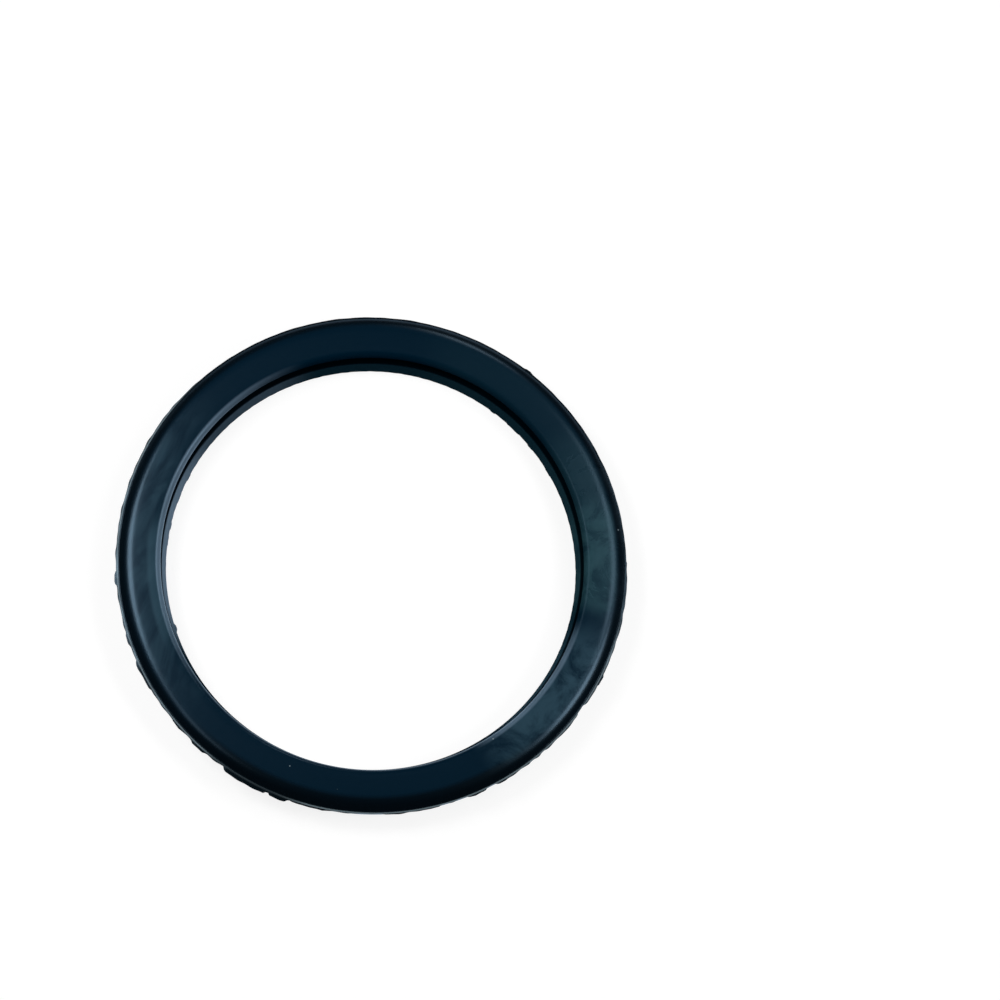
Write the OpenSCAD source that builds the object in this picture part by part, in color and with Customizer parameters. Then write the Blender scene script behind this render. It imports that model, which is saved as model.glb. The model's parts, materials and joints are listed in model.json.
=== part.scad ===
// Crankshaft oil seal: one ring of moulded black rubber.
// The flat back face is up, as it lies on a bench. The sealing lip points down into the bore.
// The axis is Z and the foot of the outer leg stands at z = 0.

/* [Main sizes] */
// Diameter of the outer wall, which fills the housing bore
housing_d = 140; // [138:0.5:146]
// Diameter of the free sealing lip, a little under the shaft that it grips
lip_d = 114; // [110:0.1:116]
// Height from the foot of the outer leg to the back face
height = 11; // [10.5:0.1:13]

/* [Back face] */
// How far the big rounded shoulder reaches across the back face
shoulder_w = 4.5; // [3:0.1:5]
// How far the shoulder drops, down into the root of the moulding fin
shoulder_drop = 1.9; // [1.5:0.1:2.4]
// How far the throat under the back face stands back from the lip
throat_setback = 1.5; // [1:0.1:2]
// Radius of the rounded edge between the back face and the throat
throat_round = 1.7; // [0.6:0.1:1.8]

/* [Recess behind the lip] */
// Radial depth of the recess, from the throat
recess_depth = 2.5; // [1.5:0.1:2.8]
// Height of the recess's upper edge below the back face
recess_top_drop = 2; // [1.9:0.1:2.4]
// Height of the recess's deepest line below the back face
recess_root_drop = 4.2; // [3.6:0.1:4.6]
// Radius at the bottom of the recess
recess_root_round = 0.8; // [0.3:0.1:1]

/* [Lip] */
// Height of the land's lower edge above the foot
land_lift = 0.5; // [0.4:0.1:0.8]
// Height of the short cylindrical land that touches the shaft
land_h = 1; // [0.6:0.1:1.4]
// Height of the lip's conical inner face, above the land
lip_cone_h = 3.4; // [2.2:0.1:3.8]
// How far the lip's conical inner face leans back from the land
lip_cone_lean = 0.9; // [0.6:0.1:1.3]
// Chamfer under the land, at the tip of the lip
lip_chamfer = 0.3; // [0.1:0.05:0.4]
// How much the lip's underside climbs from the tip to the groove
lip_rise = 0.9; // [0.4:0.1:1.4]

/* [Outer leg] */
// Height of the mould's parting line below the back face
parting_drop = 1.8; // [1.6:0.1:2.4]
// Height of the straight wall under the parting line, which seats in the housing
seat_h = 4; // [2:0.1:4.6]
// How far the leg tapers in from the straight wall to the foot
leg_taper = 2.2; // [1.4:0.1:2.6]
// Width of the flat foot, with its rounded edges
foot_w = 2.2; // [1.8:0.1:2.6]
// Radius on both edges of the foot
foot_round = 0.6; // [0.3:0.05:0.7]

/* [Underside groove] */
// Width of the groove at its closed end
groove_w = 1.7; // [1.5:0.1:2.2]
// Depth of the groove above the foot
groove_depth = 5; // [4:0.1:5.4]
// How much each wall of the groove leans out towards the mouth
groove_draft = 0.3; // [0.1:0.05:0.4]
// Radius at the closed end of the groove
groove_round = 0.6; // [0.3:0.05:0.65]
// Radius on the groove's inner edge, where the lip's underside starts
groove_edge_round = 0.5; // [0.2:0.05:0.6]

/* [Moulding flash] */
// Thickness of the thin fin left at the parting line
flash_t = 0.3; // [0.2:0.05:0.5]
// Reach of the fin where it is narrow
flash_narrow = 0.35; // [0.2:0.05:0.5]
// Reach of the fin where it is wide, round the front and the left side
flash_wide = 0.8; // [0.5:0.05:1.2]
// Reach of the small ripples along the fin
flash_ripple = 0.12; // [0:0.02:0.16]

/* [Hidden] */
$fn = 180;

wall_r = housing_d / 2;
land_r = lip_d / 2;
throat_r = land_r + throat_setback;

// Heights of the outer wall, from the top down
parting_h = height - parting_drop;
fin_bottom = parting_h - flash_t;
seat_bottom = fin_bottom - seat_h;

// Heights of the inner outline, from the foot up
land_top = land_lift + land_h;
cone_top = land_top + lip_cone_h;
recess_root = height - recess_root_drop;
recess_top = height - recess_top_drop;

// Radii of the underside, from the outer wall inwards
foot_out_r = wall_r - leg_taper;
foot_in_r = foot_out_r - foot_w;
groove_out_r = foot_in_r - groove_draft;
groove_in_r = groove_out_r - groove_w;
lip_edge_r = groove_in_r - groove_draft;
lip_edge_h = land_lift - lip_chamfer + lip_rise;

// Radius on the two sharp edges of the recess
edge_break = 0.2;
// Most degrees of turn between two points on a rounded corner
arc_step = 7.5;

// The shoulder is one arc, level where it leaves the face, from the wall up to the face
shoulder_r = (shoulder_w * shoulder_w + shoulder_drop * shoulder_drop) / (2 * shoulder_drop);
shoulder_turn = asin(shoulder_w / shoulder_r);
shoulder_steps = ceil(shoulder_turn / arc_step);
shoulder_points = [
    for (i = [0 : shoulder_steps])
        let (angle = shoulder_turn * (1 - i / shoulder_steps))
        [
            wall_r - shoulder_w + shoulder_r * sin(angle),
            height - shoulder_r + shoulder_r * cos(angle),
            0
        ]
];

// Corners of the section, counter-clockwise: radius, height and rounding
section_corners = [
    [foot_in_r, 0, foot_round],
    [foot_out_r, 0, foot_round],
    [wall_r, seat_bottom, 0],
    each shoulder_points,
    [throat_r, height, throat_round],
    [throat_r, recess_top, edge_break],
    [throat_r + recess_depth, recess_root, recess_root_round],
    [land_r + lip_cone_lean, cone_top, edge_break],
    [land_r, land_top, 0],
    [land_r, land_lift, 0],
    [land_r + lip_chamfer, land_lift - lip_chamfer, 0],
    [lip_edge_r, lip_edge_h, groove_edge_round],
    [groove_in_r, groove_depth, groove_round],
    [groove_out_r, groove_depth, groove_round],
];

// How deep the fin's root lies in the wall
flash_root = 1;
// Where the fin is wide, as seen from above and counter-clockwise from +X
flash_wide_from = 150;
flash_wide_to = 345;
flash_blend = 25;
// Share of the ripples that is left where the fin is narrow
calm_share = 0.3;
// Torn tabs and nicks of the fin: first and last angle, and the extra reach
flash_tabs = [
    [50.5, 51.5, 0.3],
    [182.8, 184.8, 0.45],
    [197, 199, 0.35],
    [203.8, 209.8, 0.4],
    [219.2, 221, 0.2],
    [225.5, 228.5, 0.45],
    [234.8, 244.5, 0.85],
    [246, 249.5, 0.7],
    [251, 258, 0.2],
    [264.5, 271, -0.25],
    [284.8, 286, -0.45],
    [288.5, 290.5, -0.4],
    [292.5, 294.5, 0.2],
    [295.8, 297.2, -0.45],
    [298.5, 300, 0.2],
    [307.2, 308, -0.2],
    [310.2, 311, -0.2],
    [322.5, 324.5, -0.45],
    [330.7, 332.3, 0.4],
];
flash_tab_ramp = 0.8;
flash_step = 0.5;

function unit(v) = v / norm(v);
function turned(v, angle) =
    [v[0] * cos(angle) - v[1] * sin(angle), v[0] * sin(angle) + v[1] * cos(angle)];
function flat_point(corner) = [corner[0], corner[1]];

// Points on the arc that rounds one corner, in the outline's own direction
function corner_arc(before, here, after, radius) =
    let (
        to_before = unit(before - here),
        to_after = unit(after - here),
        half_angle = acos(to_before * to_after) / 2,
        centre = here + unit(to_before + to_after) * radius / sin(half_angle),
        spoke = here + to_before * radius / tan(half_angle) - centre,
        turn = sign(cross(here - before, after - here)) * (180 - 2 * half_angle),
        steps = ceil(abs(turn) / arc_step)
    )
    [for (i = [0 : steps]) centre + turned(spoke, turn * i / steps)];

// An outline whose corners each have their own radius, with 0 for a sharp one
function rounded_outline(corners) = [
    let (count = len(corners))
    for (i = [0 : count - 1])
        let (here = flat_point(corners[i]), radius = corners[i][2])
        each radius == 0 ? [here]
            : corner_arc(
                flat_point(corners[(i + count - 1) % count]),
                here,
                flat_point(corners[(i + 1) % count]),
                radius
            )
];

// Rises smoothly from 0 to 1 as x goes from a to b
function ease(x, a, b) = let (t = min(1, max(0, (x - a) / (b - a)))) t * t * (3 - 2 * t);
// Is 1 between from and to, and runs out smoothly over ramp on both sides
function plateau(x, from, to, ramp) = ease(x, from - ramp, from) - ease(x, to, to + ramp);
// Adds up the tabs and nicks at one angle
function tab_reach(angle, i = 0) =
    i == len(flash_tabs) ? 0
    : flash_tabs[i][2] * plateau(angle, flash_tabs[i][0], flash_tabs[i][1], flash_tab_ramp)
        + tab_reach(angle, i + 1);
// Fine waves of three unlike lengths, so that the ragged edge has no clear beat
function ripple(angle) =
    flash_ripple * (sin(41 * angle) + sin(67 * angle + 40) + 0.7 * sin(107 * angle + 130)) / 2;
function flash_reach(angle) =
    let (wide = plateau(angle, flash_wide_from, flash_wide_to, flash_blend))
    flash_narrow
    + (flash_wide - flash_narrow) * wide
    + tab_reach(angle)
    + ripple(angle) * (calm_share + (1 - calm_share) * wide);

module seal_body() {
    rotate_extrude() polygon(rounded_outline(section_corners));
}

// Thin ragged fin all round the outer wall, at the mould's parting line
module flash_fin() {
    translate([0, 0, fin_bottom])
        linear_extrude(height = flash_t)
            difference() {
                polygon([
                    for (angle = [0 : flash_step : 360 - flash_step])
                        (wall_r + flash_reach(angle)) * [cos(angle), sin(angle)]
                ]);
                circle(r = wall_r - flash_root);
            }
}

module seal_ring() {
    color("#16191c") union() {
        seal_body();
        flash_fin();
    }
}

seal_ring();
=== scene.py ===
"""Crankshaft oil seal of black moulded rubber, dressed and lit.

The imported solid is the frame. One surface stands for it: the seal's section carried round the axis,
with the ragged moulding fin, the torn edge of the lip and the rubber's small unevenness worked in.
"""

import json
import math
from functools import partial

import bpy
import numpy as np
from bpy.props import FloatProperty, FloatVectorProperty, PointerProperty
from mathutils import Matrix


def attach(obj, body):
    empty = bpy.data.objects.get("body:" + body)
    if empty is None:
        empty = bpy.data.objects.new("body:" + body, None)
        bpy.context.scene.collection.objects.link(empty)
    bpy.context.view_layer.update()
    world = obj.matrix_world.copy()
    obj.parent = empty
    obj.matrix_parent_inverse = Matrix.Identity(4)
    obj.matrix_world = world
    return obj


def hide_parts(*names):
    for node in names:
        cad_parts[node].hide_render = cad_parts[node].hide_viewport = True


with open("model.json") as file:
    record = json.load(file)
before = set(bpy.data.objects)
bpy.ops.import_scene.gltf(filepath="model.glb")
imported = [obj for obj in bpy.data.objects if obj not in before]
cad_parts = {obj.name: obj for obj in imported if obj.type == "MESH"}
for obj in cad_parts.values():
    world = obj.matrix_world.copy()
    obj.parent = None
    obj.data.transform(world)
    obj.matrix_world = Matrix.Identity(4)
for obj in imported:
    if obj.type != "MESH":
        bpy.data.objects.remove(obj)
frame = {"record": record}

bl_info = {
    "name": "Crankshaft oil seal",
    "version": (1, 0, 0),
    "blender": (4, 5, 0),
    "location": "View3D > Sidebar > Oil seal",
    "description": "Models a one-piece rubber oil seal and sets up its studio",
    "category": "Object",
}

MM = 0.001
NODE = "seal_ring"

MOUNTS = {mount["name"]: mount for mount in frame["record"]["mounts"]}
WALL_RADIUS = MOUNTS["housing_seat"]["dims"]["r_mm"] * MM
LIP_RADIUS = MOUNTS["shaft_lip"]["dims"]["r_mm"] * MM
BACK_FACE_HEIGHT = MOUNTS["back_face"]["pos_m"][2]
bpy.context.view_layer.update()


def length(name, description, default):
    """A size in metres that the sidebar shows in the scene's unit."""
    return FloatProperty(
        name=name, description=description, default=default, unit="LENGTH", precision=5
    )


def colour(name, description, default):
    """A colour as an sRGB hex value, shown by Blender as a linear colour."""
    return FloatVectorProperty(
        name=name,
        description=description,
        default=linear(default),
        subtype="COLOR",
        size=4,
        min=0.0,
        max=1.0,
    )


def light_level(name, description, default):
    """How bright a light looks from the seal, where 1 is plain white."""
    return FloatProperty(name=name, description=description, default=default, min=0.0)


def share_of_one(name, description, default):
    """A number from 0 to 1."""
    return FloatProperty(name=name, description=description, default=default, min=0.0, max=1.0)


def linear(hex_value):
    """The linear RGBA of an sRGB hex value such as "#16191c"."""
    srgb = np.array([int(hex_value[i : i + 2], 16) for i in (1, 3, 5)]) / 255
    low = srgb / 12.92
    high = ((srgb + 0.055) / 1.055) ** 2.4
    return (*np.where(srgb <= 0.04045, low, high).tolist(), 1.0)


class SealSection(bpy.types.PropertyGroup):
    """Sizes of the seal's section, in metres."""

    wall_radius: length("Wall radius", "Outer wall that fills the housing bore", WALL_RADIUS)
    lip_radius: length("Lip radius", "Land of the lip that grips the shaft", LIP_RADIUS)
    height: length("Height", "From the foot to the back face", BACK_FACE_HEIGHT)
    shoulder_width: length("Shoulder width", "Reach of the shoulder across the back face", 4.5 * MM)
    shoulder_drop: length("Shoulder drop", "Drop of the shoulder, down to the moulding fin", 1.9 * MM)
    throat_setback: length("Throat setback", "How far the throat stands back from the lip", 1.5 * MM)
    throat_round: length("Throat round", "Round between the back face and the throat", 1.7 * MM)
    recess_depth: length("Recess depth", "Depth of the recess behind the lip", 2.5 * MM)
    recess_top_drop: length("Recess top", "Recess's upper edge below the back face", 2.0 * MM)
    recess_root_drop: length("Recess root", "Recess's deepest line below the back face", 4.2 * MM)
    recess_root_round: length("Recess root round", "Round at the bottom of the recess", 0.8 * MM)
    land_lift: length("Land lift", "Height of the land's lower edge", 0.5 * MM)
    land_height: length("Land height", "Height of the land that touches the shaft", 1.0 * MM)
    cone_height: length("Cone height", "Height of the lip's inner cone over the land", 3.4 * MM)
    cone_lean: length("Cone lean", "How far the lip's inner cone leans back", 0.9 * MM)
    lip_chamfer: length("Lip chamfer", "Chamfer under the land", 0.3 * MM)
    lip_rise: length("Lip rise", "Climb of the lip's underside to the groove", 0.9 * MM)
    parting_drop: length("Parting line", "Moulding fin below the back face", 1.8 * MM)
    seat_height: length("Seat height", "Straight wall under the moulding fin", 4.0 * MM)
    leg_taper: length("Leg taper", "Taper of the outer leg down to the foot", 2.2 * MM)
    foot_width: length("Foot width", "Width of the flat foot", 2.2 * MM)
    foot_round: length("Foot round", "Round on both edges of the foot", 0.6 * MM)
    groove_width: length("Groove width", "Width of the groove at its closed end", 1.7 * MM)
    groove_depth: length("Groove depth", "Depth of the groove above the foot", 5.0 * MM)
    groove_draft: length("Groove draft", "Lean of each groove wall", 0.3 * MM)
    groove_round: length("Groove round", "Round at the closed end of the groove", 0.6 * MM)
    groove_edge_round: length("Groove edge", "Round where the lip's underside starts", 0.5 * MM)
    edge_break: length("Edge break", "Small round on edges that the mould leaves sharp", 0.12 * MM)


class MouldingFin(bpy.types.PropertyGroup):
    """Sizes of the ragged fin at the mould's parting line, in metres."""

    thickness: length("Thickness", "Thickness of the fin at its root", 0.3 * MM)
    root_round: length("Root round", "Hollow round between the shoulder and the fin", 0.3 * MM)
    thinning: length("Thinning", "How much each side of the fin thins towards its edge", 0.07 * MM)
    narrow: length("Narrow reach", "Reach of the fin where it is narrow", 0.34 * MM)
    wide: length("Wide reach", "Reach round the front and the left side", 0.79 * MM)
    ripple: length("Ripple", "Reach of the small waves along the fin", 0.12 * MM)
    curl: length("Curl", "How far the fin's edge curls up and down", 0.06 * MM)


class RubberFinish(bpy.types.PropertyGroup):
    """Colours and grain of the rubber, with the colours of its painted shade and painted highlights."""

    rubber: colour("Rubber", "Carbon-black rubber with a cold cast", "#011a2a")
    # Painted shade: near-black laid where shade falls, on the shoulder, deepest at the front, in the
    # recess under the throat and at a break along the fin's root
    painted_shade: colour("Deep black", "Rubber free of bloom, on the shoulder and in the recess", "#00060c")
    bloom: colour("Bloom", "Pale wax that has come out on the surface", "#27464f")
    haze: colour("Haze", "Thin bluish film of wax in slanting streaks", "#34505f")
    # Pale rubbing on the lip mixed with a painted reflection there, and painted highlights on the
    # throat's rounded edge
    scuff_and_sheen: colour("Scuff", "Rubber rubbed pale along the lip", "#748ca2")
    # Dust specks, and also a painted highlight along the fin's root
    dust_and_sheen: colour("Dust", "Specks of dust and release powder", "#7f9098")
    sheen_cast: colour("Sheen cast", "Cast of the rubber's reflections", "#bbe2ff")
    cloud_size: length("Cloud size", "Size of a patch of bloom", 9.0 * MM)
    streak_size: length("Streak size", "Distance between streaks of haze", 6.0 * MM)
    grain_size: length("Grain size", "Size of the moulded surface's grain", 0.5 * MM)
    grain_height: length("Grain height", "Height of the moulded surface's grain", 0.03 * MM)
    speck_spacing: length("Speck spacing", "Distance between dust specks", 8.5 * MM)
    gloss: share_of_one("Gloss", "Specular level of the moulded rubber", 0.31)
    clean_roughness: share_of_one("Clean roughness", "Roughness of rubber free of bloom", 0.23)
    bloomed_roughness: share_of_one("Bloomed roughness", "Roughness under the mottled bloom", 0.33)
    dull_roughness: share_of_one("Dull roughness", "Roughness of the lip and the recess", 0.6)


class SealStudio(bpy.types.PropertyGroup):
    """The floor, the lamps and the camera."""

    floor: colour("Floor", "Pale floor under the seal", "#d8d8d8")
    floor_width: length("Floor width", "Width of the square floor", 6.0)
    camera_place: FloatVectorProperty(
        name="Camera place",
        description="Where the camera stands",
        default=(-0.05803, -0.25437, 1.08302),
        subtype="TRANSLATION",
        unit="LENGTH",
    )
    camera_turn: FloatVectorProperty(
        name="Camera turn",
        description="The camera's turn about X, Y and Z",
        default=tuple(math.radians(turn) for turn in (14.254, -4.679, -1.187)),
        subtype="EULER",
        unit="ROTATION",
    )
    view_angle: FloatProperty(
        name="View angle",
        description="The camera's whole angle of view",
        default=math.radians(14.25),
        unit="ROTATION",
    )
    lamp_height: length("Lamp height", "Height of the softboxes over the floor", 600 * MM)
    left_softbox: light_level("Left softbox", "Lights the shoulder on the left", 8.2)
    left_glow: light_level("Left glow", "Dim screen that lights the flat face on the left", 1.6)
    low_left_softbox: light_level("Low left softbox", "Lights the shoulder at the front left", 1.7)
    right_softbox: light_level("Right softbox", "Lights the shoulder on the right", 3.9)
    low_right_softbox: light_level("Low right softbox", "Lights the shoulder at the front right", 8.5)
    far_softbox: light_level("Far softbox", "Lights the shoulder on the far side", 4.3)
    world: light_level("World", "Even light from all round", 0.06)


# How finely the surface is cut: round the axis, along the arcs and along the flats
ROUND_STEPS = 720
ARC_STEP = math.radians(12.5)
LONGEST_STEP = 2.2 * MM

# Where the fin is wide, counter-clockwise from +X, and how softly that begins and ends, in degrees
FIN_WIDE_FROM = 150
FIN_WIDE_TO = 345
FIN_BLEND = 25
# Share of the ripples that is left where the fin is narrow
CALM_SHARE = 0.3
# Torn tabs and nicks of the fin: first and last angle in degrees, and the extra reach in mm
FIN_TABS = (
    (50.5, 51.5, 0.3),
    (182.8, 184.8, 0.45),
    (197, 199, 0.35),
    (203.8, 209.8, 0.4),
    (219.2, 221, 0.2),
    (225.5, 228.5, 0.45),
    (234.8, 244.5, 0.85),
    (246, 249.5, 0.7),
    (251, 258, 0.2),
    (264.5, 271, -0.25),
    (284.8, 286, -0.45),
    (288.5, 290.5, -0.4),
    (292.5, 294.5, 0.2),
    (295.8, 297.2, -0.45),
    (298.5, 300, 0.2),
    (307.2, 308, -0.2),
    (310.2, 311, -0.2),
    (322.5, 324.5, -0.45),
    (330.7, 332.3, 0.4),
)
# How softly each tab or nick begins and ends, in degrees
TAB_RAMP = 0.8
# Shreds left on the lip's edge: first and last angle in degrees, and how far each reaches in, in mm
LIP_SHREDS = (
    (196.6, 197.8, 0.5),
    (152, 153.5, 0.16),
    (158, 160.5, 0.14),
    (167, 168.5, 0.2),
    (171, 173, 0.12),
    (28, 30, 0.16),
    (37, 38.5, 0.2),
    (43, 47, 0.14),
    (52, 53, 0.18),
)
# How softly each shred begins and ends, in degrees
SHRED_RAMP = 0.5
# Small waves round the ring: the count of waves, the phase in degrees and the size of each
FIN_RIPPLES = ((41, 0, 1), (67, 40, 1), (107, 130, 0.7))
FIN_CURLS = ((23, 50, 1), (37, 10, 0.7), (61, 200, 0.5))
LIP_RIPPLES = ((83, 20, 1), (131, 75, 1))
# How far the lip's ripples reach
LIP_RIPPLE = 0.02 * MM
# How far a shred's root spreads from the lip's edge, outwards and up or down
SHRED_ROOT = (0.5 * MM, 0.6 * MM)
# Flat that is left on the fin's rounded edge
TIP_FLAT = 0.02 * MM
# Rim of the fin that moves as one when the fin's reach changes
FIN_RIM = 0.1 * MM


def shoulder_arc(section, fin_top, fillet, arc_step):
    """The shoulder's arc and the hollow round that leads it out into the fin, from the fin up to the
    face. The shoulder's centre lies under the face's edge, and its radius is
    (width^2 + drop^2) / (2 * drop). The hollow's centre lies one fillet over the fin, and shoulder
    radius + fillet from the first centre."""
    radius = (section.shoulder_width**2 + section.shoulder_drop**2) / (2 * section.shoulder_drop)
    centre = np.array([section.wall_radius - section.shoulder_width, section.height - radius])
    rise = fin_top + fillet - centre[1]
    reach = math.sqrt((radius + fillet) ** 2 - rise**2)
    turn = math.atan2(reach, rise)
    angle = np.linspace(0, turn, max(3, math.ceil(turn / arc_step)) + 1)[:, None]
    hollow = centre + [reach, rise] - fillet * np.concatenate([np.sin(angle), np.cos(angle)], 1)
    shoulder = centre + radius * np.concatenate([np.sin(angle), np.cos(angle)], 1)
    return [(*point, 0) for point in np.concatenate([hollow, shoulder[-2::-1]])]


def rounded_corner(before, here, after, radius, arc_step):
    """The arc that rounds one corner: points at the arc's radius round its centre, which lies on the
    corner's bisector, from where the arc leaves the first side to where it meets the second."""
    to_before = (before - here) / np.linalg.norm(before - here)
    to_after = (after - here) / np.linalg.norm(after - here)
    half_angle = math.acos(float(to_before @ to_after)) / 2
    bisector = (to_before + to_after) / np.linalg.norm(to_before + to_after)
    centre = here + bisector * radius / math.sin(half_angle)
    spoke = here + to_before * radius / math.tan(half_angle) - centre
    way = math.copysign(1, to_after[1] * -to_before[0] + to_after[0] * to_before[1])
    turn = way * (math.pi - 2 * half_angle)
    steps = max(2, math.ceil(abs(turn) / arc_step))
    angle = np.linspace(0, turn, steps + 1)
    cosine, sine = np.cos(angle), np.sin(angle)
    turned = np.stack([spoke[0] * cosine - spoke[1] * sine, spoke[0] * sine + spoke[1] * cosine], 1)
    return centre + turned


def rounded_outline(corners, arc_step):
    """A closed outline from corners of radius, height and rounding, where 0 leaves a corner as it is."""
    points = np.array([corner[:2] for corner in corners])
    before, after = np.roll(points, 1, axis=0), np.roll(points, -1, axis=0)
    pieces = []
    for i, (_, _, rounding) in enumerate(corners):
        if rounding:
            pieces.append(rounded_corner(before[i], points[i], after[i], rounding, arc_step))
        else:
            pieces.append(points[i : i + 1])
    return np.concatenate(pieces)


def with_longest_step(outline, longest):
    """The closed outline with extra points, so that no two neighbours lie further apart than longest."""
    following = np.roll(outline, -1, axis=0)
    steps = np.ceil(np.linalg.norm(following - outline, axis=1) / longest).astype(int)
    steps = np.maximum(steps, 1)
    first = np.repeat(outline, steps, axis=0)
    last = np.repeat(following, steps, axis=0)
    share = np.concatenate([np.arange(n) / n for n in steps])[:, None]
    return first + (last - first) * share


def seal_section(section, fin):
    """The seal's section, counter-clockwise, as radius and height, with the fin at its wide reach."""
    throat = section.lip_radius + section.throat_setback
    fin_top = section.height - section.parting_drop
    fin_bottom = fin_top - fin.thickness
    fin_tip = section.wall_radius + fin.wide
    seat_bottom = fin_bottom - section.seat_height
    foot_out = section.wall_radius - section.leg_taper
    foot_in = foot_out - section.foot_width
    groove_out = foot_in - section.groove_draft
    groove_in = groove_out - section.groove_width
    lip_edge = groove_in - section.groove_draft
    land_top = section.land_lift + section.land_height
    lip_foot = section.land_lift - section.lip_chamfer
    tip_round = (fin.thickness - TIP_FLAT) / 2 - fin.thinning
    recess_top = section.height - section.recess_top_drop
    recess_root = section.height - section.recess_root_drop
    corners = [
        (foot_in, 0, section.foot_round),
        (foot_out, 0, section.foot_round),
        (section.wall_radius, seat_bottom, section.edge_break),
        (section.wall_radius, fin_bottom, section.edge_break),
        (fin_tip, fin_bottom + fin.thinning, tip_round),
        (fin_tip, fin_top - fin.thinning, tip_round),
        *shoulder_arc(section, fin_top, fin.root_round, ARC_STEP / 2),
        (throat, section.height, section.throat_round),
        (throat, recess_top, section.edge_break),
        (throat + section.recess_depth, recess_root, section.recess_root_round),
        (section.lip_radius + section.cone_lean, land_top + section.cone_height, section.edge_break),
        (section.lip_radius, land_top, section.edge_break),
        (section.lip_radius, section.land_lift, section.edge_break),
        (section.lip_radius + section.lip_chamfer, lip_foot, section.edge_break),
        (lip_edge, lip_foot + section.lip_rise, section.groove_edge_round),
        (groove_in, section.groove_depth, section.groove_round),
        (groove_out, section.groove_depth, section.groove_round),
    ]
    return with_longest_step(rounded_outline(corners, ARC_STEP), LONGEST_STEP)


def ease(x, start, end):
    """Rises smoothly from 0 to 1 as x goes from start to end."""
    share = np.clip((x - start) / (end - start), 0, 1)
    return share * share * (3 - 2 * share)


def plateau(x, start, end, ramp):
    """Is 1 between start and end, and runs out smoothly over ramp on both sides."""
    return ease(x, start - ramp, start) - ease(x, end, end + ramp)


def waves(angle, parts):
    """A sum of sines round the ring. Each part gives its count of waves, its phase and its size."""
    return sum(size * np.sin(np.radians(count * angle + phase)) for count, phase, size in parts)


def fin_reach(angle, fin):
    """How far the fin reaches from the wall: its narrow reach, plus the rest of its wide reach where
    that runs, plus the tabs and nicks, plus ripples that are calmer where the fin is narrow."""
    wide = plateau(angle, FIN_WIDE_FROM, FIN_WIDE_TO, FIN_BLEND)
    tabs = sum(reach * MM * plateau(angle, start, end, TAB_RAMP) for start, end, reach in FIN_TABS)
    ripple = fin.ripple / 2 * waves(angle, FIN_RIPPLES) * (CALM_SHARE + (1 - CALM_SHARE) * wide)
    return fin.narrow + (fin.wide - fin.narrow) * wide + tabs + ripple


def lip_shreds(angle):
    """How far the lip's torn edge reaches in towards the axis."""
    shreds = sum(reach * MM * plateau(angle, start, end, SHRED_RAMP) for start, end, reach in LIP_SHREDS)
    return shreds + LIP_RIPPLE * waves(angle, LIP_RIPPLES)


def ring_surface(section, fin):
    """The whole seal as a grid of points: section point i carried to angle t round the axis.
    Radius = the section's radius, plus the fin's reach less its wide reach times how far out on the
    fin the point lies, less the lip's shreds times how near the lip's edge it lies. Height = the
    section's height, plus the fin's curl times how far out on the fin the point lies."""
    outline = seal_section(section, fin)
    angle = np.arange(ROUND_STEPS) * 360 / ROUND_STEPS
    radius, height = outline[:, 0][None], outline[:, 1][None]
    fin_start = section.wall_radius + fin.root_round
    on_fin = np.clip((radius - fin_start) / (fin.wide - fin.root_round - FIN_RIM), 0, 1)
    outwards, upwards = SHRED_ROOT
    near_lip = np.clip(1 - (radius - section.lip_radius) / outwards, 0, 1)
    near_lip = near_lip * np.clip(1 - np.abs(height - section.land_lift) / upwards, 0, 1)
    reach = fin_reach(angle, fin)[:, None]
    curl = fin.curl * waves(angle, FIN_CURLS)[:, None]
    around = np.radians(angle)[:, None]
    ring_radius = radius + (reach - fin.wide) * on_fin - lip_shreds(angle)[:, None] * near_lip
    ring_height = height + curl * on_fin
    ring_radius, ring_height = np.broadcast_arrays(ring_radius, ring_height)
    points = np.stack([ring_radius * np.cos(around), ring_radius * np.sin(around), ring_height], 2)
    return outline, points


def grid_mesh(name, outline, points):
    """A closed mesh from a grid that joins up with itself both ways, with its faces outwards and a UV
    map in metres: U runs round the ring and V along the section."""
    turns, across = points.shape[:2]
    around_at = np.arange(turns)[:, None]
    across_at = np.arange(across)[None]
    next_turn = (around_at + 1) % turns
    next_across = (across_at + 1) % across
    corners = [
        around_at * across + across_at,
        next_turn * across + across_at,
        next_turn * across + next_across,
        around_at * across + next_across,
    ]
    quads = np.stack([np.broadcast_to(corner, (turns, across)) for corner in corners], 2)
    quads = quads.reshape(-1, 4)
    mesh = bpy.data.meshes.new(name)
    mesh.vertices.add(turns * across)
    mesh.vertices.foreach_set("co", points.reshape(-1))
    mesh.loops.add(quads.size)
    mesh.loops.foreach_set("vertex_index", quads.reshape(-1))
    mesh.polygons.add(len(quads))
    mesh.polygons.foreach_set("loop_start", np.arange(len(quads)) * 4)
    mesh.polygons.foreach_set("loop_total", np.full(len(quads), 4))
    mesh.update(calc_edges=True)
    mesh.polygons.foreach_set("use_smooth", np.ones(len(quads), bool))
    spans = np.linalg.norm(np.roll(outline, -1, axis=0) - outline, axis=1)
    along = np.concatenate([[0], np.cumsum(spans)])
    round_length = 2 * math.pi * outline[:, 0].mean()
    turn_at = np.arange(turns + 1) / turns * round_length
    first_u, last_u, low_v, high_v = turn_at[:-1], turn_at[1:], along[:-1], along[1:]
    pairs = [(first_u, low_v), (last_u, low_v), (last_u, high_v), (first_u, high_v)]
    uv = np.stack([np.stack(np.meshgrid(u, v, indexing="ij"), 2) for u, v in pairs], 2)
    mesh.uv_layers.new(name="ring").data.foreach_set("uv", uv.reshape(-1))
    mesh.validate()
    return mesh


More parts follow.
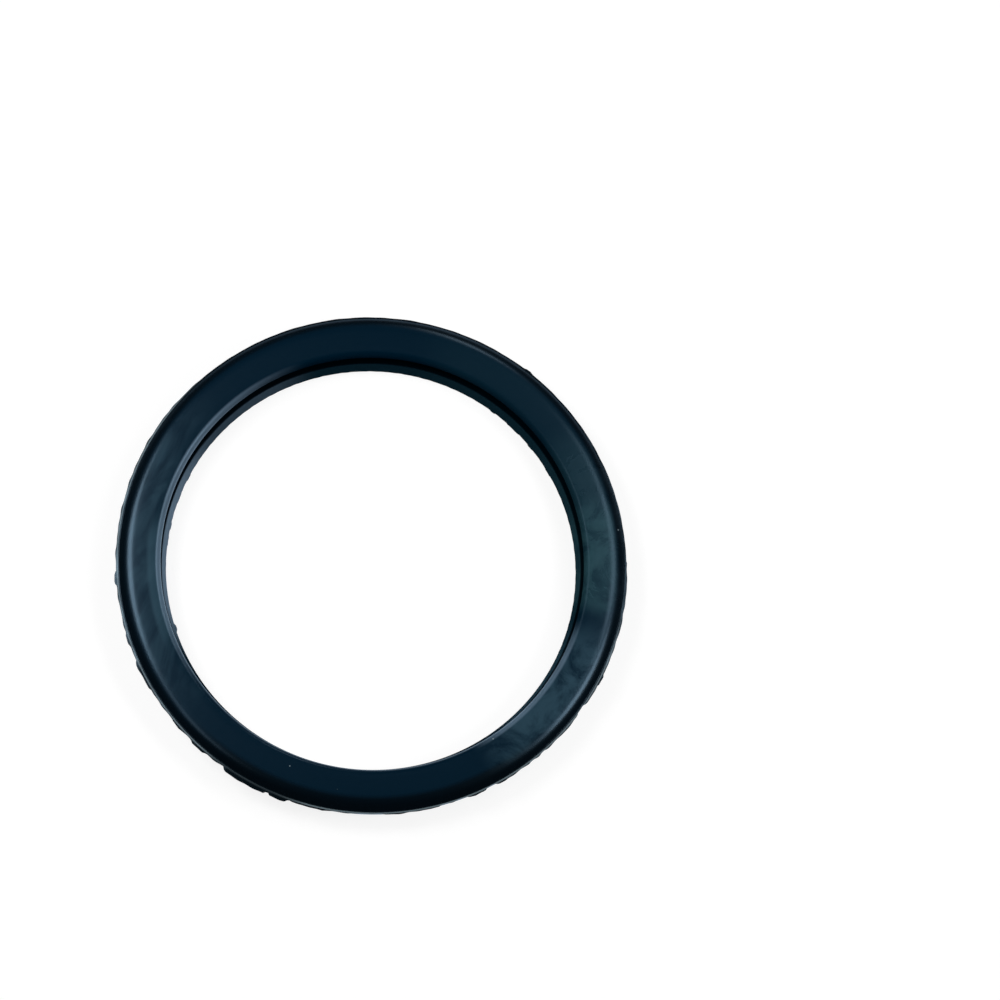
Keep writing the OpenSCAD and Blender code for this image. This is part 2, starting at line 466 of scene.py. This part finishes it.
def add_node(tree, kind, inputs=None, output=0, **settings):
    """Adds one shader node and gives one of its outputs. The settings are the node's own attributes,
    and the inputs are values to set or sockets to link."""
    node = tree.nodes.new(kind)
    for name, value in settings.items():
        setattr(node, name, value)
    for key, value in (inputs or {}).items():
        if isinstance(value, bpy.types.NodeSocket):
            tree.links.new(value, node.inputs[key])
        else:
            node.inputs[key].default_value = value
    return node.outputs[output] if node.outputs else None


# Where each mark lies round the ring: its azimuth, and how far to each side of it the mark is whole
# and where it has run out, in degrees
SECTORS = {
    "washed side": (10, 8, 28),
    "faintly washed side": (46, 16, 34),
    "mottled far side": (1, 8, 17),
    "mottled near side": (321, 9, 25),
    "streaked side": (178, 20, 48),
    "crescent": (186, 6, 20),
    "scuffed side": (173, 8, 34),
    "rubbed far side": (163, 16, 56),
    "rubbed near side": (320, 10, 24),
    "veiled lip side": (140, 18, 36),
    "near side": (268, 28, 50),
    "wide fin side": (240, 95, 112),
    "fin gap": (241, 5, 14),
    "trimmed side": (52, 66, 104),
}
# Where each mark lies across the ring: the radius where there is none of it, and where it is whole, in mm
BANDS = {
    "face": (68.3, 66.3),
    "shoulder": (66.8, 68.8),
    "inner face": (62.8, 61.4),
    "lip": (58.3, 58.0),
    "lip and throat": (60.6, 59.2),
    "throat edge": (60.2, 59.4),
    "near shoulder": (65.4, 67.2),
    "fin root": (70.1, 70.3),
    "inside the fin's edge": (70.68, 70.5),
    "bore side": (62.5, 61.8),
}
# The same for marks bounded in height over the foot, in mm
LEVELS = {
    "over the recess": (9.1, 9.5),
    "under the throat": (9.1, 8.9),
    "over the lip": (4.7, 5.1),
}
# The streaks' long way, counter-clockwise from +X, and how much they are stretched along and across it
STREAK_SLANT = math.radians(66)
STREAK_STRETCH = (2.6, 0.9, 1)
# Where the rubber is dull, whatever its colour: the marks that bound each place
DULL_PLACES = (
    ("lip",),
    ("trimmed side", "lip and throat"),
    ("over the lip", "under the throat", "bore side"),
)
# The Mix node's sockets for colours: the one under, the one laid over it and the result
MIX_UNDER, MIX_OVER, MIXED = 6, 7, 2


def bloomed_nitrile_rubber(finish):
    """Carbon-black nitrile rubber, pressed in a steel mould, with its lip trimmed afterwards. The eye
    sees a deep cold black with a soft gloss. Wax has bloomed on it in mottled grey-green patches on one
    side and in faint slanting streaks on the other. The lip and the recess are dull, and the lip is pale
    on one side, partly from scuffing and partly from a painted reflection. Shade is painted near-black
    on the shoulder, in the recess and at a break along the fin's root, and highlights are painted pale
    on the throat's edge and along the fin's root."""
    material = bpy.data.materials.new("bloomed_nitrile_rubber")
    material.use_nodes = True
    tree = material.node_tree
    tree.nodes.clear()
    node = partial(add_node, tree)
    place = node("ShaderNodeTexCoord", output="Object")
    in_mm = node("ShaderNodeMapping", {"Vector": place, "Scale": (1000, 1000, 1000)})
    flat = node("ShaderNodeVectorMath", {0: in_mm, 1: (1, 1, 0)}, operation="MULTIPLY")
    outward = node("ShaderNodeVectorMath", {0: flat}, operation="NORMALIZE")
    radius = node("ShaderNodeVectorMath", {0: flat}, "Value", operation="LENGTH")
    level = node("ShaderNodeSeparateXYZ", {0: in_mm}, "Z")
    slant = {"Vector": in_mm, "Rotation": (0, 0, STREAK_SLANT), "Scale": STREAK_STRETCH}
    slanted = node("ShaderNodeMapping", slant, vector_type="TEXTURE")

    # The raw value of each pattern, and between which two values it goes from none to whole
    clouds = {"Vector": in_mm, "Scale": MM / finish.cloud_size, "Detail": 7, "Roughness": 0.68}
    strokes = {"Vector": slanted, "Scale": MM / finish.streak_size, "Detail": 3, "Roughness": 0.5}
    motes = {"Vector": in_mm, "Scale": MM / finish.speck_spacing}
    raw = {
        "mottle": (node("ShaderNodeTexNoise", {**clouds, "Distortion": 0.6}), 0.3, 0.62),
        "streaks": (node("ShaderNodeTexNoise", {**strokes, "Distortion": 0.6}), 0.35, 0.75),
        "specks": (node("ShaderNodeTexVoronoi", motes, "Distance"), 0.03, 0.018),
    }
    for name, (azimuth, whole, none) in SECTORS.items():
        way = (math.cos(math.radians(azimuth)), math.sin(math.radians(azimuth)), 0)
        along = node("ShaderNodeVectorMath", {0: outward, 1: way}, "Value", operation="DOT_PRODUCT")
        raw[name] = (along, math.cos(math.radians(none)), math.cos(math.radians(whole)))
    raw.update({name: (radius, none, whole) for name, (none, whole) in BANDS.items()})
    raw.update({name: (level, none, whole) for name, (none, whole) in LEVELS.items()})
    marks = {}
    for name, (value, none, whole) in raw.items():
        span = {"Value": value, "From Min": none, "From Max": whole}
        marks[name] = node("ShaderNodeMapRange", span, interpolation_type="SMOOTHSTEP")

    # Each coat lies over the ones before it: its strength, the marks that bound it and its colour
    coats = (
        # Painted shade on the shoulder all round, deeper on the front shoulder
        (0.9, ("shoulder",), finish.painted_shade),
        (0.9, ("near side", "near shoulder"), finish.painted_shade),
        (0.3, ("washed side", "face"), finish.bloom),
        (0.1, ("faintly washed side", "face"), finish.bloom),
        (1.0, ("mottled far side", "mottle", "face"), finish.bloom),
        (0.7, ("mottled near side", "mottle", "face"), finish.haze),
        (0.4, ("streaked side", "streaks", "face"), finish.haze),
        (0.6, ("crescent", "inner face"), finish.haze),
        (0.25, ("trimmed side", "lip"), finish.bloom),
        # Painted reflection on the lip at the far left
        (0.28, ("veiled lip side", "lip"), finish.scuff_and_sheen),
        # Painted shade in the recess under the throat, over the lip
        (0.95, ("bore side", "over the lip", "under the throat"), finish.painted_shade),
        # Pale scuffing on the lip at the left, with a painted reflection laid in the same colour
        (1.0, ("scuffed side", "lip"), finish.scuff_and_sheen),
        # Painted highlights on the throat's rounded edge, at the far left and at the front right
        (0.55, ("rubbed far side", "throat edge", "over the recess"), finish.scuff_and_sheen),
        (0.5, ("rubbed near side", "throat edge", "over the recess"), finish.scuff_and_sheen),
        # Painted highlight along the fin's root, round the front and the left
        (0.62, ("wide fin side", "fin root", "inside the fin's edge"), finish.dust_and_sheen),
        # Painted shade at the fin's root by the big torn tab, where the painted highlight breaks off
        (0.85, ("fin gap", "fin root"), finish.painted_shade),
        (1.0, ("specks",), finish.dust_and_sheen),
    )
    body = tuple(finish.rubber)
    for strength, bounds, coat in coats:
        share = strength
        for bound in bounds:
            share = node("ShaderNodeMath", {0: share, 1: marks[bound]}, operation="MULTIPLY")
        layers = {0: share, MIX_UNDER: body, MIX_OVER: tuple(coat)}
        body = node("ShaderNodeMix", layers, MIXED, data_type="RGBA")

    mottled = node("ShaderNodeMath", {0: marks["washed side"], 1: marks["mottle"]}, operation="MULTIPLY")
    spread = {"Value": mottled, "To Min": finish.clean_roughness, "To Max": finish.bloomed_roughness}
    roughness = node("ShaderNodeMapRange", spread)
    grains = {"Vector": in_mm, "Scale": MM / finish.grain_size, "Detail": 3, "Roughness": 0.6}
    grain = node("ShaderNodeTexNoise", grains)
    bump = node("ShaderNodeBump", {"Height": grain, "Strength": 0.1, "Distance": finish.grain_height})
    surface = {"Base Color": body, "Normal": bump, "IOR": 1.5, "Specular Tint": tuple(finish.sheen_cast)}
    satin = {**surface, "Roughness": roughness, "Specular IOR Level": finish.gloss}
    matt = {**surface, "Roughness": finish.dull_roughness, "Specular IOR Level": 0.0}
    moulded = node("ShaderNodeBsdfPrincipled", satin)
    trimmed = node("ShaderNodeBsdfPrincipled", matt)
    dull = 0
    for bounds in DULL_PLACES:
        share = 1
        for bound in bounds:
            share = node("ShaderNodeMath", {0: share, 1: marks[bound]}, operation="MULTIPLY")
        dull = node("ShaderNodeMath", {0: dull, 1: share}, operation="MAXIMUM")
    both = node("ShaderNodeMixShader", {0: dull, 1: moulded, 2: trimmed})
    node("ShaderNodeOutputMaterial", {"Surface": both})
    return material


# The part of the floor's colour that still takes light and shadow where the camera sees it
SEEN_FLOOR = (0.22, 0.22, 0.22, 1.0)
# Even light that the seen floor gives off, which makes up the rest of its white
FLOOR_LIFT = 0.85
# The cold cast of that light where the rubber mirrors it
MIRRORED_FLOOR = (0.55, 0.78, 1.0, 1.0)


def white_paper(floor_colour):
    """Matt white paper laid flat. It is lifted to plain white where the camera sees it and to a cold
    white where the rubber mirrors it, and the seal's soft shadow stays on it."""
    material = bpy.data.materials.new("white_paper")
    material.use_nodes = True
    tree = material.node_tree
    tree.nodes.clear()
    node = partial(add_node, tree)
    seen = 0
    for ray in ("Is Camera Ray", "Is Glossy Ray", "Is Transmission Ray"):
        on_ray = node("ShaderNodeLightPath", output=ray)
        seen = node("ShaderNodeMath", {0: seen, 1: on_ray}, operation="MAXIMUM")
    papers = {0: seen, MIX_UNDER: tuple(floor_colour), MIX_OVER: SEEN_FLOOR}
    paper = node("ShaderNodeMix", papers, MIXED, data_type="RGBA")
    matt = node("ShaderNodeBsdfDiffuse", {"Color": paper})
    lift = node("ShaderNodeMath", {0: seen, 1: FLOOR_LIFT}, operation="MULTIPLY")
    mirrored = node("ShaderNodeLightPath", output="Is Glossy Ray")
    casts = {0: mirrored, MIX_UNDER: (1, 1, 1, 1), MIX_OVER: MIRRORED_FLOOR}
    cast = node("ShaderNodeMix", casts, MIXED, data_type="RGBA")
    glow = node("ShaderNodeEmission", {"Color": cast, "Strength": lift})
    both = node("ShaderNodeAddShader", {0: matt, 1: glow})
    below = node("ShaderNodeNewGeometry", output="Backfacing")
    clear = node("ShaderNodeBsdfTransparent")
    one_sided = node("ShaderNodeMixShader", {0: below, 1: both, 2: clear})
    node("ShaderNodeOutputMaterial", {"Surface": one_sided})
    return material


# Each softbox: its middle on the plan, its width and depth, in metres, and its turn in degrees
SOFTBOXES = {
    "left_softbox": ((-0.385, 0.17), (0.24, 0.34), 33),
    "left_glow": ((-0.16, 0.145), (0.17, 0.14), 20),
    "low_left_softbox": ((-0.345, -0.15), (0.14, 0.24), 0),
    "right_softbox": ((0.36, 0.17), (0.26, 0.24), 40),
    "low_right_softbox": ((0.54, -0.14), (0.25, 0.25), 40),
    "far_softbox": ((0.36, 1.02), (0.15, 0.55), 0),
}


def add_softbox(name, level, height):
    """A flat oblong softbox over the floor, facing straight down, turned about the vertical, and
    out of the camera's own sight. Its power is 4 * area * level, which makes its face that bright."""
    middle, (width, depth), turn = SOFTBOXES[name]
    lamp = bpy.data.lights.new(name, "AREA")
    lamp.shape = "RECTANGLE"
    lamp.size = width
    lamp.size_y = depth
    lamp.energy = 4 * width * depth * level
    softbox = bpy.data.objects.new(name, lamp)
    softbox.location = (*middle, height)
    softbox.rotation_euler = (0, 0, math.radians(turn))
    softbox.visible_camera = False
    bpy.context.scene.collection.objects.link(softbox)


class OIL_SEAL_OT_make_ring(bpy.types.Operator):
    """Models the seal ring and gives it its rubber"""

    bl_idname = "oil_seal.make_ring"
    bl_label = "Make the seal ring"

    def execute(self, context):
        outline, points = ring_surface(context.scene.seal_section, context.scene.seal_fin)
        mesh = grid_mesh("seal_ring_surface", outline, points)
        mesh.materials.append(bloomed_nitrile_rubber(context.scene.seal_finish))
        ring = bpy.data.objects.new("moulded_seal_ring", mesh)
        context.scene.collection.objects.link(ring)
        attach(ring, "root")
        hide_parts(NODE)
        return {"FINISHED"}


class OIL_SEAL_OT_make_stage(bpy.types.Operator):
    """Lays the floor, hangs the softboxes and sets the camera"""

    bl_idname = "oil_seal.make_stage"
    bl_label = "Make the stage"

    def execute(self, context):
        studio = context.scene.seal_studio
        half = studio.floor_width / 2
        mesh = bpy.data.meshes.new("paper_floor")
        corners = [(-half, -half, 0), (half, -half, 0), (half, half, 0), (-half, half, 0)]
        mesh.from_pydata(corners, [], [(0, 1, 2, 3)])
        mesh.materials.append(white_paper(studio.floor))
        floor = bpy.data.objects.new("paper_floor", mesh)
        context.scene.collection.objects.link(floor)

        for name in SOFTBOXES:
            add_softbox(name, getattr(studio, name), studio.lamp_height)

        world = bpy.data.worlds.new("studio_air")
        world.use_nodes = True
        background = world.node_tree.nodes["Background"]
        background.inputs["Color"].default_value = (1, 1, 1, 1)
        background.inputs["Strength"].default_value = studio.world
        context.scene.world = world

        camera_data = bpy.data.cameras.new("photo_camera")
        camera_data.lens = camera_data.sensor_width / 2 / math.tan(studio.view_angle / 2)
        camera_data.clip_start = 0.05
        camera_data.clip_end = 20
        camera = bpy.data.objects.new("photo_camera", camera_data)
        camera.location = studio.camera_place
        camera.rotation_euler = studio.camera_turn
        context.scene.collection.objects.link(camera)
        context.scene.camera = camera
        context.scene.view_settings.view_transform = "Standard"
        return {"FINISHED"}


class VIEW3D_PT_oil_seal(bpy.types.Panel):
    """Lists the seal's steps and sizes"""

    bl_idname = "VIEW3D_PT_oil_seal"
    bl_label = "Oil seal"
    bl_space_type = "VIEW_3D"
    bl_region_type = "UI"
    bl_category = "Oil seal"

    def draw(self, context):
        self.layout.operator(OIL_SEAL_OT_make_ring.bl_idname)
        self.layout.operator(OIL_SEAL_OT_make_stage.bl_idname)
        for group in (
            context.scene.seal_section,
            context.scene.seal_fin,
            context.scene.seal_finish,
            context.scene.seal_studio,
        ):
            box = self.layout.box()
            for name in group.__annotations__:
                box.prop(group, name)


GROUPS = {
    "seal_section": SealSection,
    "seal_fin": MouldingFin,
    "seal_finish": RubberFinish,
    "seal_studio": SealStudio,
}
CLASSES = (*GROUPS.values(), OIL_SEAL_OT_make_ring, OIL_SEAL_OT_make_stage, VIEW3D_PT_oil_seal)


def register():
    for cls in CLASSES:
        bpy.utils.register_class(cls)
    for name, group in GROUPS.items():
        setattr(bpy.types.Scene, name, PointerProperty(type=group))


def unregister():
    for name in GROUPS:
        delattr(bpy.types.Scene, name)
    for cls in reversed(CLASSES):
        bpy.utils.unregister_class(cls)


def main():
    register()
    bpy.ops.oil_seal.make_ring()
    bpy.ops.oil_seal.make_stage()


if __name__ == "__main__":
    main()
